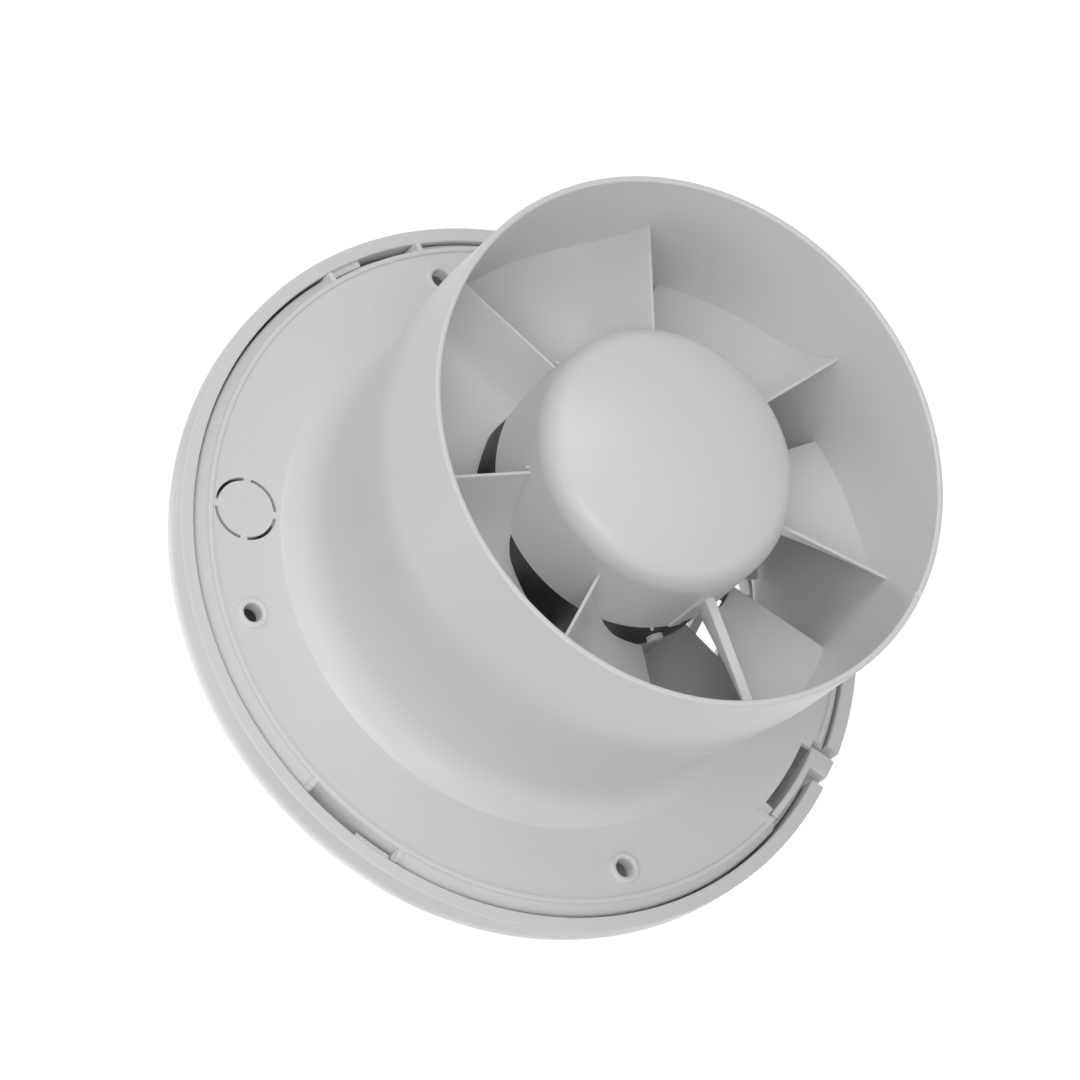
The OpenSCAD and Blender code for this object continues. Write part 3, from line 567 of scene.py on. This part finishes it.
def countersunk(angle):
    """A screw hole with a round lip."""
    profile = [(0, 1, 0), (3.5, 1, 0)] + arc(3.5, PLATE_BACK, 0.9, 90, 180, 6) + [(2.6, -6, 0), (0, -6, 0)]
    return placed(lathe(profile, 64), at(SCREW_AT, angle, 0))


holes = [countersunk(a) for a in SCREW_ANGLES]
slots = [placed(pocket(8.05, 8.95, 1, -4, start, start + SLOT_LENGTH, 18), KNOCKOUT)
         for start in (SLOT_FROM + 90 * k for k in range(4))]
latch_room = pocket(93.3, 98, ABOVE, -7.7, -94.3, -76.8, 24)
catch_rooms = [pocket(95.7, 99.4, ABOVE, -9, a - 8.2, a + 8.2, 16) for a in CATCHES]
latch_slot = pocket(90.5, 93.6, ABOVE, -4, -92.6, -78.2, 20)
channel_room = pocket(72.1, 75.5, -12, 45, -94, -86, 8)
notch = bmesh.new()
bmesh.ops.create_cube(notch, size=NOTCH_SIDE * MM,
                      matrix=Matrix.Translation(NOTCH_AT) @ Matrix.Rotation(math.radians(45), 4, "Z"))
bmesh.ops.scale(notch, verts=notch.verts, vec=(1, 1, 3), space=Matrix.Translation(-NOTCH_AT))
base = carve(base, gather(*holes, *slots, latch_room, notch, channel_room, *catch_rooms))
base = carve(base, latch_slot)
piece("housing_moulding", base, "housing", "housing", ["duct_tube", "base_plate", "base_rim"])

# %% [markdown]
# ## Motor cup
# The cup that holds the motor is a short round can with a soft dome, and its front edge is left open for
# the shield. A spun outline with a wall of its own gives both, and the small dimple at its centre is where
# the plastic was fed in.

# %% Spin the cup
CUP_R = 37.6
CUP_FRONT = 55.0
DOME_Y = 78.5
DOME_H = 14.5
SHOULDER = 8.0
DOME_AT = 29.0
DOME_R = (DOME_H ** 2 + DOME_AT ** 2 - SHOULDER ** 2) / (2 * (DOME_H - SHOULDER))
JOIN = math.degrees(math.atan2(DOME_R - DOME_H, DOME_AT))
GATE_DEPTH = 0.32
GATE_R = 2.0


def dome(inset):
    """Outline of the cup's shoulder and its shallow dome, from the side to the axis."""
    points = arc(DOME_AT, DOME_Y, SHOULDER - inset, 0, JOIN, 12)
    points += arc(0, DOME_Y + DOME_H - DOME_R, DOME_R - inset, JOIN, 90, 20)[1:]
    points[-1] = (0, points[-1][1], 0)
    return points


front_edge = [(CUP_R - WALL, CUP_FRONT, 0.4), (CUP_R, CUP_FRONT, 0.4)]
cup = lathe(front_edge + dome(0) + dome(WALL)[::-1], 160)
for v in cup.verts:
    off = math.hypot(v.co.x, v.co.z) / MM
    if v.co.y > (DOME_Y + DOME_H - 0.8) * MM:
        v.co.y -= GATE_DEPTH * MM * math.exp(-(off / GATE_R) ** 2)
print("dome radius:", round(DOME_R, 1))

# %% [markdown]
# ## The lead's duct
# A low duct on the cup's side covers the motor's lead, and a bead and two flecks of flash are left by the
# mould. The duct follows the round side, so it is swept for a few degrees and its edges are softened. The
# others are tiny rounded blocks.

# %% The lead's duct on the cup's side
duct_outline = [(37.0, 55.25, 0), (38.05, 55.25, 0.3), (37.95, 71.5, 0.6), (36.6, 75.6, 0)]
duct = sweep(duct_outline, -51.6, -46, 6)
soften(duct, sharp_edges(duct), 0.3)
bead = block(37.2, 38.4, 0.7, 54.9, 55.6, -38.6, 0.2)
flash = [block(37.2, 38.3, 0.7, 72.9, 73.9, k * 360 / 7 + 1.9, 0.15) for k in (1, 2)]
piece("motor_cup_shell", gather(cup, duct, bead, *flash), "housing", "cup", ["motor_cup"])

# %% [markdown]
# ## Guide vanes
# Each vane starts axially at the rear and sweeps forward in the direction that the air turns. It is a ruled
# sheet between the cup and the tube wall, so a grid is laid out, each point is sent to its place, and the
# sheet gets its thickness and round edges afterwards. This keeps the surface smooth, which a cut solid
# would not.

# %% Lay out a vane
VANES = 7
VANE_FRONT = 46.2
LENGTH_AT_CUP = 27.3
LENGTH_AT_WALL = 24.3
VANE_CURL = 6.6
VANE_SWEEP = 40
SHIELD_CLEAR = 1.7
BITE = 0.5


def vane_point(step, w):
    """A point on a vane: step runs from its rear edge to its front, w from the cup to the wall."""
    u = step ** 1.6
    length = LENGTH_AT_CUP + (LENGTH_AT_WALL - LENGTH_AT_CUP) * w
    y = VANE_FRONT + length * (0.5 * (1 - u) + 0.5 * (1 - u) ** VANE_CURL)
    past_cup = min(1.0, max(0.0, (CUP_FRONT + 0.9 - y) / 4))
    inner = CUP_R - BITE + (SHIELD_CLEAR + BITE) * past_cup
    outer = tube_r(y) - WALL + BITE
    return at(inner + (outer - inner) * w, -VANE_SWEEP * u, y)


def sheet_from(point, across, along):
    """A grid whose corners run over both parameters from 0 to 1."""
    bm = bmesh.new()
    bmesh.ops.create_grid(bm, x_segments=along, y_segments=across, size=0.5)
    for v in bm.verts:
        v.co = point(min(1.0, max(0.0, v.co.x + 0.5)), min(1.0, max(0.0, v.co.y + 0.5)))
    return bm


def thicken(bm, thickness, rounding):
    """Gives a sheet its thickness, half to each side, and rounds its edges."""
    bm.normal_update()
    shift = {v: v.normal * (thickness / 2 * MM) for v in bm.verts}
    for v, move in shift.items():
        v.co -= move
    bmesh.ops.solidify(bm, geom=list(bm.faces), thickness=-thickness * MM)
    close_up(bm)
    return soften(bm, sharp_edges(bm), rounding)


print("a vane's front edge lies at:", [round(c / MM, 1) for c in vane_point(1, 0)])

# %% Turn the vane seven times
# Each pair is a thickness and the rounding of the edges. The last vane carries the motor's lead, so it is
# the thick one.
VANE = (0.95, 0.28)
LEAD_VANE = (2.6, 0.9)
vanes = []
for k in range(VANES):
    thickness, rounding = LEAD_VANE if k == VANES - 1 else VANE
    vane = thicken(sheet_from(vane_point, 10, 30), thickness, rounding)
    vanes.append(turned(vane, 360 / VANES * k))
piece("guide_vane_set", gather(*vanes), "housing", "housing", ["guide_vanes"])

# %% [markdown]
# ## Motor shield
# The black shield closes the cup in front. Behind the vanes only its round side shows, as a dark band under
# the cup's edge. It is spun, a low seam runs along its side where the mould parts, and a drilled hole lets
# the lead in.

# %% Spin the shield
SHIELD_R = 37.3
SHIELD_FRONT = 40.4
SHIELD_BACK = CUP_FRONT - 0.05
shield_outline = [(2.8, 30, 0.2), (8.5, 30, 0.6), (8.5, SHIELD_FRONT, 0.8), (SHIELD_R, SHIELD_FRONT, 0.9),
                  (SHIELD_R, SHIELD_BACK, 0.2), (35.6, SHIELD_BACK, 0), (35.6, 58, 0.2), (34.2, 58, 0.2),
                  (34.2, 41.8, 0.4), (5.5, 41.8, 0), (5.5, 31.2, 0), (2.8, 31.2, 0)]
seam = block(SHIELD_R - 0.6, SHIELD_R + 0.12, 0.5, SHIELD_FRONT + 1.2, CUP_FRONT - 0.4, 18.7, 0.1)
lead_hole = bmesh.new()
bmesh.ops.create_cone(lead_hole, cap_ends=True, segments=32, radius1=2.1 * MM, radius2=2.1 * MM,
                      depth=6 * MM)
placed(close_up(lead_hole), at(35.8, -90, 42.9))
shield = gather(carve(lathe(shield_outline, 160), lead_hole), seam)
piece("motor_shield_shell", shield, "housing", "black", ["motor_shield"])

# %% [markdown]
# ## The plug in the shield's side
# A light plug closes a small hole in the shield. It is turned like a button that lies on its side: a flat
# head outside, and a thin stem that goes through the wall.

# %% The plug in its side
PLUG_AT = -46
PLUG_Y = 47.6


def radial_button(radius, height, rounding, out):
    """A small round button that stands out of the shield's side."""
    bm = lathe([(0, 0, 0), (radius, 0, 0), (radius, height, rounding), (0, height, 0)], 40)
    bmesh.ops.rotate(bm, verts=bm.verts, cent=ORIGIN, matrix=Matrix.Rotation(math.radians(-90), 3, "Z"))
    return turned(placed(bm, (out * MM, PLUG_Y * MM, 0)), PLUG_AT)


plug = gather(radial_button(2.3, 1.5, 0.7, 37.45), radial_button(1.45, 4.2, 0.2, 33.6))
piece("shield_plug_button", plug, "housing", "light", ["shield_plug"])

# %% [markdown]
# ## Impeller
# The hub is a deep round cup with a rounded nose, and five swept blades stand on it. They are laid out like
# the vanes, as a grid that is given thickness, with a little camber from the leading to the trailing edge.

# %% Spin the hub and lay out the blades
HUB_R = 36.9
HUB_FRONT = 3.5
HUB_REAR = 39.5
HUB_WALL = 1.6
BORE_R = 2.52
TIP_R = 64.3
BLADES = 5
FIRST_BLADE = -82.7
BLADE_SWEEP = 34
hub = lathe([(BORE_R, HUB_FRONT, 0.2), (HUB_R, HUB_FRONT, 5), (HUB_R, HUB_REAR, 0.35),
             (HUB_R - HUB_WALL, HUB_REAR, 0.35), (HUB_R - HUB_WALL, HUB_FRONT + HUB_WALL, 3.4),
             (6.6, HUB_FRONT + HUB_WALL, 0.8), (6.6, 22.5, 0.4), (BORE_R, 22.5, 0.2)], 160)


def blade_point(w, q):
    """A point on a blade: w runs from its leading edge to its trailing edge, q from the hub to the tip."""
    r = HUB_R - 0.6 + (TIP_R - HUB_R + 0.6) * q
    y0 = HUB_FRONT + 1.2 + 4.8 * q
    y1 = HUB_FRONT + 25 - 3.4 * q
    y = y0 + (y1 - y0) * (w - 0.35 * w * (1 - w))
    return at(r, BLADE_SWEEP * (1 - w), y)


wheel = [hub]
for k in range(BLADES):
    angle = FIRST_BLADE + 360 / BLADES * k
    wheel.append(turned(thicken(sheet_from(blade_point, 10, 24), 1.8, 0.5), angle))
    wheel.append(block(6.2, HUB_R - 1.2, 1.2, HUB_FRONT + 0.8, HUB_FRONT + 7.6, angle, 0.2))
piece("impeller_wheel", gather(*wheel), "impeller", "impeller", ["impeller"])

# %% [markdown]
# ## Front cover
# The cover is a shallow round dish with a generously rounded edge and a wide opening, spun from one
# outline. A block cuts the notch for the latch's button, and three short hooks inside the edge are swept,
# because they follow it.

# %% Spin the cover and cut its notch
FACE_Y = -25.5
COVER_BACK = -3.1
COVER_R = 102.5
EDGE_R = 17.5
EDGE_AT = (COVER_R - EDGE_R, FACE_Y + EDGE_R)
OPENING_R = 79
cover_edge = [(98.5, COVER_BACK, 0.5), (COVER_R, COVER_BACK, 0.6)] + arc(*EDGE_AT, EDGE_R, 0, -90, 28)
opening = [(OPENING_R, FACE_Y, 0.8), (OPENING_R, FACE_Y + 6, 0.5), (OPENING_R + 2, FACE_Y + 6, 0.5),
           (OPENING_R + 2, FACE_Y + 2, 0.3)]
cover = lathe(cover_edge + opening + arc(*EDGE_AT, EDGE_R - 2, -90, -29.4, 20), 256)
cover = carve(cover, box((12, 8, 10), (-3.5, -5.5, -101)))
hook_outline = [(96.6, -12.1, 0.4), (99, -12.1, 0), (99, -4.4, 0), (96.6, -4.4, 0.6)]
hooks = [sweep(hook_outline, a - 8, a - 1.6, 6) for a in CATCHES]
piece("front_cover_shell", gather(cover, *hooks), "front_cover", "cover", ["cover_rim", "front_cover"])

# %% [markdown]
# ## Grille bars
# Thin straight bars cross the cover's opening, and one upright bar behind them holds them in line. Each
# starts as a cube whose ends are moved to the circle that they meet, so that none stands proud of the ring,
# and its long edges are rounded.

# %% The grille's bars
BAR_PITCH = 10.7
BAR_T = 2.5
BAR_DEPTH = 5
RING_R = 79.6


def grille_bar(z):
    """One bar, with ends that follow the ring."""
    bm = bmesh.new()
    bmesh.ops.create_cube(bm, size=1)
    for v in bm.verts:
        edge = z + math.copysign(BAR_T / 2, v.co.z)
        reach = math.sqrt(RING_R ** 2 - edge ** 2)
        depth = FACE_Y + (BAR_DEPTH if v.co.y > 0 else 0)
        v.co = Vector((math.copysign(reach, v.co.x), depth, edge)) * MM
    long_edges = [e for e in bm.edges if abs(e.verts[0].co.x - e.verts[1].co.x) > 20 * MM]
    return soften(bm, long_edges, 0.5)


bars = [grille_bar(k * BAR_PITCH) for k in range(-7, 8)]
middle = box((2, 3, 2 * RING_R), (0, FACE_Y + 3.5, 0))
soften(middle, list(middle.edges), 0.3, 2)
piece("grille_bar_set", gather(*bars, middle), "front_cover", "cover", ["grille_bars"])

# %% [markdown]
# ## Release latch
# The latch is a thin springy arm in the base's rim, with a button that fills the cover's notch. The arm
# follows the rim, so it is swept round the axis, and the button is a small rounded block on its free end.

# %% Sweep the arm and add the button
arm_outline = [(93.7, -6, 0.3), (95.6, -6, 0.3), (95.6, -0.3, 0.4), (93.7, -0.3, 0.4)]
arm = sweep(arm_outline, -92.2, LATCH_ROOT, 18)
button = box((6, 4.6, 8.1), (-3.4, -5.1, -97.8))
soften(button, list(button.edges), 0.5)
piece("release_latch_arm", gather(arm, button), "release_latch", "housing", ["release_latch"])

# %% [markdown]
# ## Finishes for the CAD pieces that stay
# The motor's inner pieces, screws and terminals are plain turned and folded shapes that the CAD model
# already has exactly, so they keep their meshes and only get their finish.

# %% Dress the kept nodes
KEPT = {
    "housing": ("terminal_cover",),
    "light": ("coil_bobbins", "terminal_block", "cable_clamp", "thrust_washers"),
    "rubber": ("cup_rings", "lead_grommet"),
    "sheath": ("motor_lead",),
    "lamination": ("stator_core", "rotor_core"),
    "steel": ("rear_bracket", "motor_screws", "clamp_screws", "impeller_nut", "impeller_washer", "shaft"),
    "aluminium": ("rotor_cage",),
    "bronze": ("front_bush", "rear_bush", "terminal_screws"),
    "copper": ("pole_windings",),
}
for finish, names in KEPT.items():
    for name in names:
        dress(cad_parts[name], finish)
print("kept CAD nodes:", sum(len(names) for names in KEPT.values()))

# %% [markdown]
# ## Floor
# The fan was photographed hanging free against white, so the pale floor lies well below it. White comes
# from what the camera sees of the floor and the world, and not from more light on the fan. Mirrors and
# glass see that white as the camera does.

# %% A pale floor
FLOOR_Z = -0.52
FLOOR_GREY = 0.6
FLOOR_WHITE = 0.76


def seen_rays(tree):
    """One for the rays that the camera, a mirror or a glass sends out, and nothing for plain light."""
    rays = add(tree, "ShaderNodeLightPath")
    seen = rays.outputs["Is Camera Ray"]
    for kind in ("Is Glossy Ray", "Is Transmission Ray"):
        either = add(tree, "ShaderNodeMath", operation="MAXIMUM")
        tree.links.new(seen, either.inputs[0])
        tree.links.new(rays.outputs[kind], either.inputs[1])
        seen = either.outputs[0]
    return seen


floor_mesh = bmesh.new()
bmesh.ops.create_grid(floor_mesh, x_segments=1, y_segments=1, size=20)
placed(floor_mesh, (0, 0, FLOOR_Z))
floor_data = bpy.data.meshes.new("floor")
floor_mesh.to_mesh(floor_data)
floor_mesh.free()
floor = bpy.data.objects.new("floor", floor_data)
bpy.context.scene.collection.objects.link(floor)
floor_material, floor_tree, floor_shader = nodes_of("pale_floor")
floor_shader.inputs["Base Color"].default_value = (FLOOR_GREY, FLOOR_GREY, FLOOR_GREY, 1)
floor_shader.inputs["Roughness"].default_value = 0.8
floor_shader.inputs["Emission Color"].default_value = (1, 1, 1, 1)
floor_tree.links.new(ramp(floor_tree, seen_rays(floor_tree), 0, 1, 0, FLOOR_WHITE),
                     floor_shader.inputs["Emission Strength"])
floor.data.materials.append(floor_material)

# %% [markdown]
# ## Studio light
# White plastic shows its form only by soft shading, so the lamps are wide and stand far off. The strongest
# is on the camera's side, because the inside of the duct is nearly as bright as its outside. The lamp on the
# room side stands straight before the grille, where the duct's wall doesn't mirror it towards the camera.

# %% The world and the lamps
WORLD_LIGHT = 0.4
FAN_MIDDLE = (0, 0.04, 0)
world = bpy.data.worlds.new("studio")
bpy.context.scene.world = world
world.use_nodes = True
world_tree = world.node_tree
surround = world_tree.nodes["Background"]
surround.inputs["Color"].default_value = (1, 1, 1, 1)
world_tree.links.new(ramp(world_tree, seen_rays(world_tree), 0, 1, WORLD_LIGHT, 1.0),
                     surround.inputs["Strength"])


def lamp(name, place, aim, size, power):
    """A square soft box that points at a spot."""
    data = bpy.data.lights.new(name, "AREA")
    data.size = size
    data.energy = power
    obj = bpy.data.objects.new(name, data)
    bpy.context.scene.collection.objects.link(obj)
    obj.location = place
    obj.rotation_mode = "QUATERNION"
    obj.rotation_quaternion = (Vector(aim) - Vector(place)).to_track_quat("-Z", "Y")


lamp("front_softbox", (1.07, 1.65, 0.37), FAN_MIDDLE, 1.0, 7.9)
lamp("top_softbox", (-0.22, 1.26, 0.79), FAN_MIDDLE, 0.8, 3.6)
lamp("low_softbox", (1.36, 0.49, -0.4), FAN_MIDDLE, 0.8, 2.9)
lamp("side_softbox", (1.1, 0.9, 1.2), FAN_MIDDLE, 0.9, 1.9)
lamp("room_side_softbox", (0.12, -1.5, 0.25), (0, -0.02, 0), 1.3, 6.0)
print("lamps:", len(bpy.data.lights))

# %% [markdown]
# ## Camera
# The camera stands far off with a long lens, as the photographer's did, so that the near edge of the cover
# is hardly larger than the far one. Its three directions and its place were fitted to the round edges of
# the duct's mouth, the ridge and the cover.

# %% The camera, at the photograph's angle
camera_data = bpy.data.cameras.new("camera")
camera_data.lens = 200
camera_data.sensor_width = 36
camera_data.clip_end = 50
camera = bpy.data.objects.new("camera", camera_data)
bpy.context.scene.collection.objects.link(camera)
right = Vector((-0.397413, 0.437278, -0.806753))
up = Vector((-0.745525, 0.358736, 0.561695))
backward = Vector((0.535028, 0.824679, 0.183435))
view = Matrix((right, up, backward)).transposed().to_4x4()
view.translation = Vector((0.86703, 1.35028, 0.30222))
camera.matrix_world = view
bpy.context.scene.camera = camera
bpy.context.scene.view_settings.view_transform = "Standard"
print("camera distance in m:", round(view.translation.length, 2))
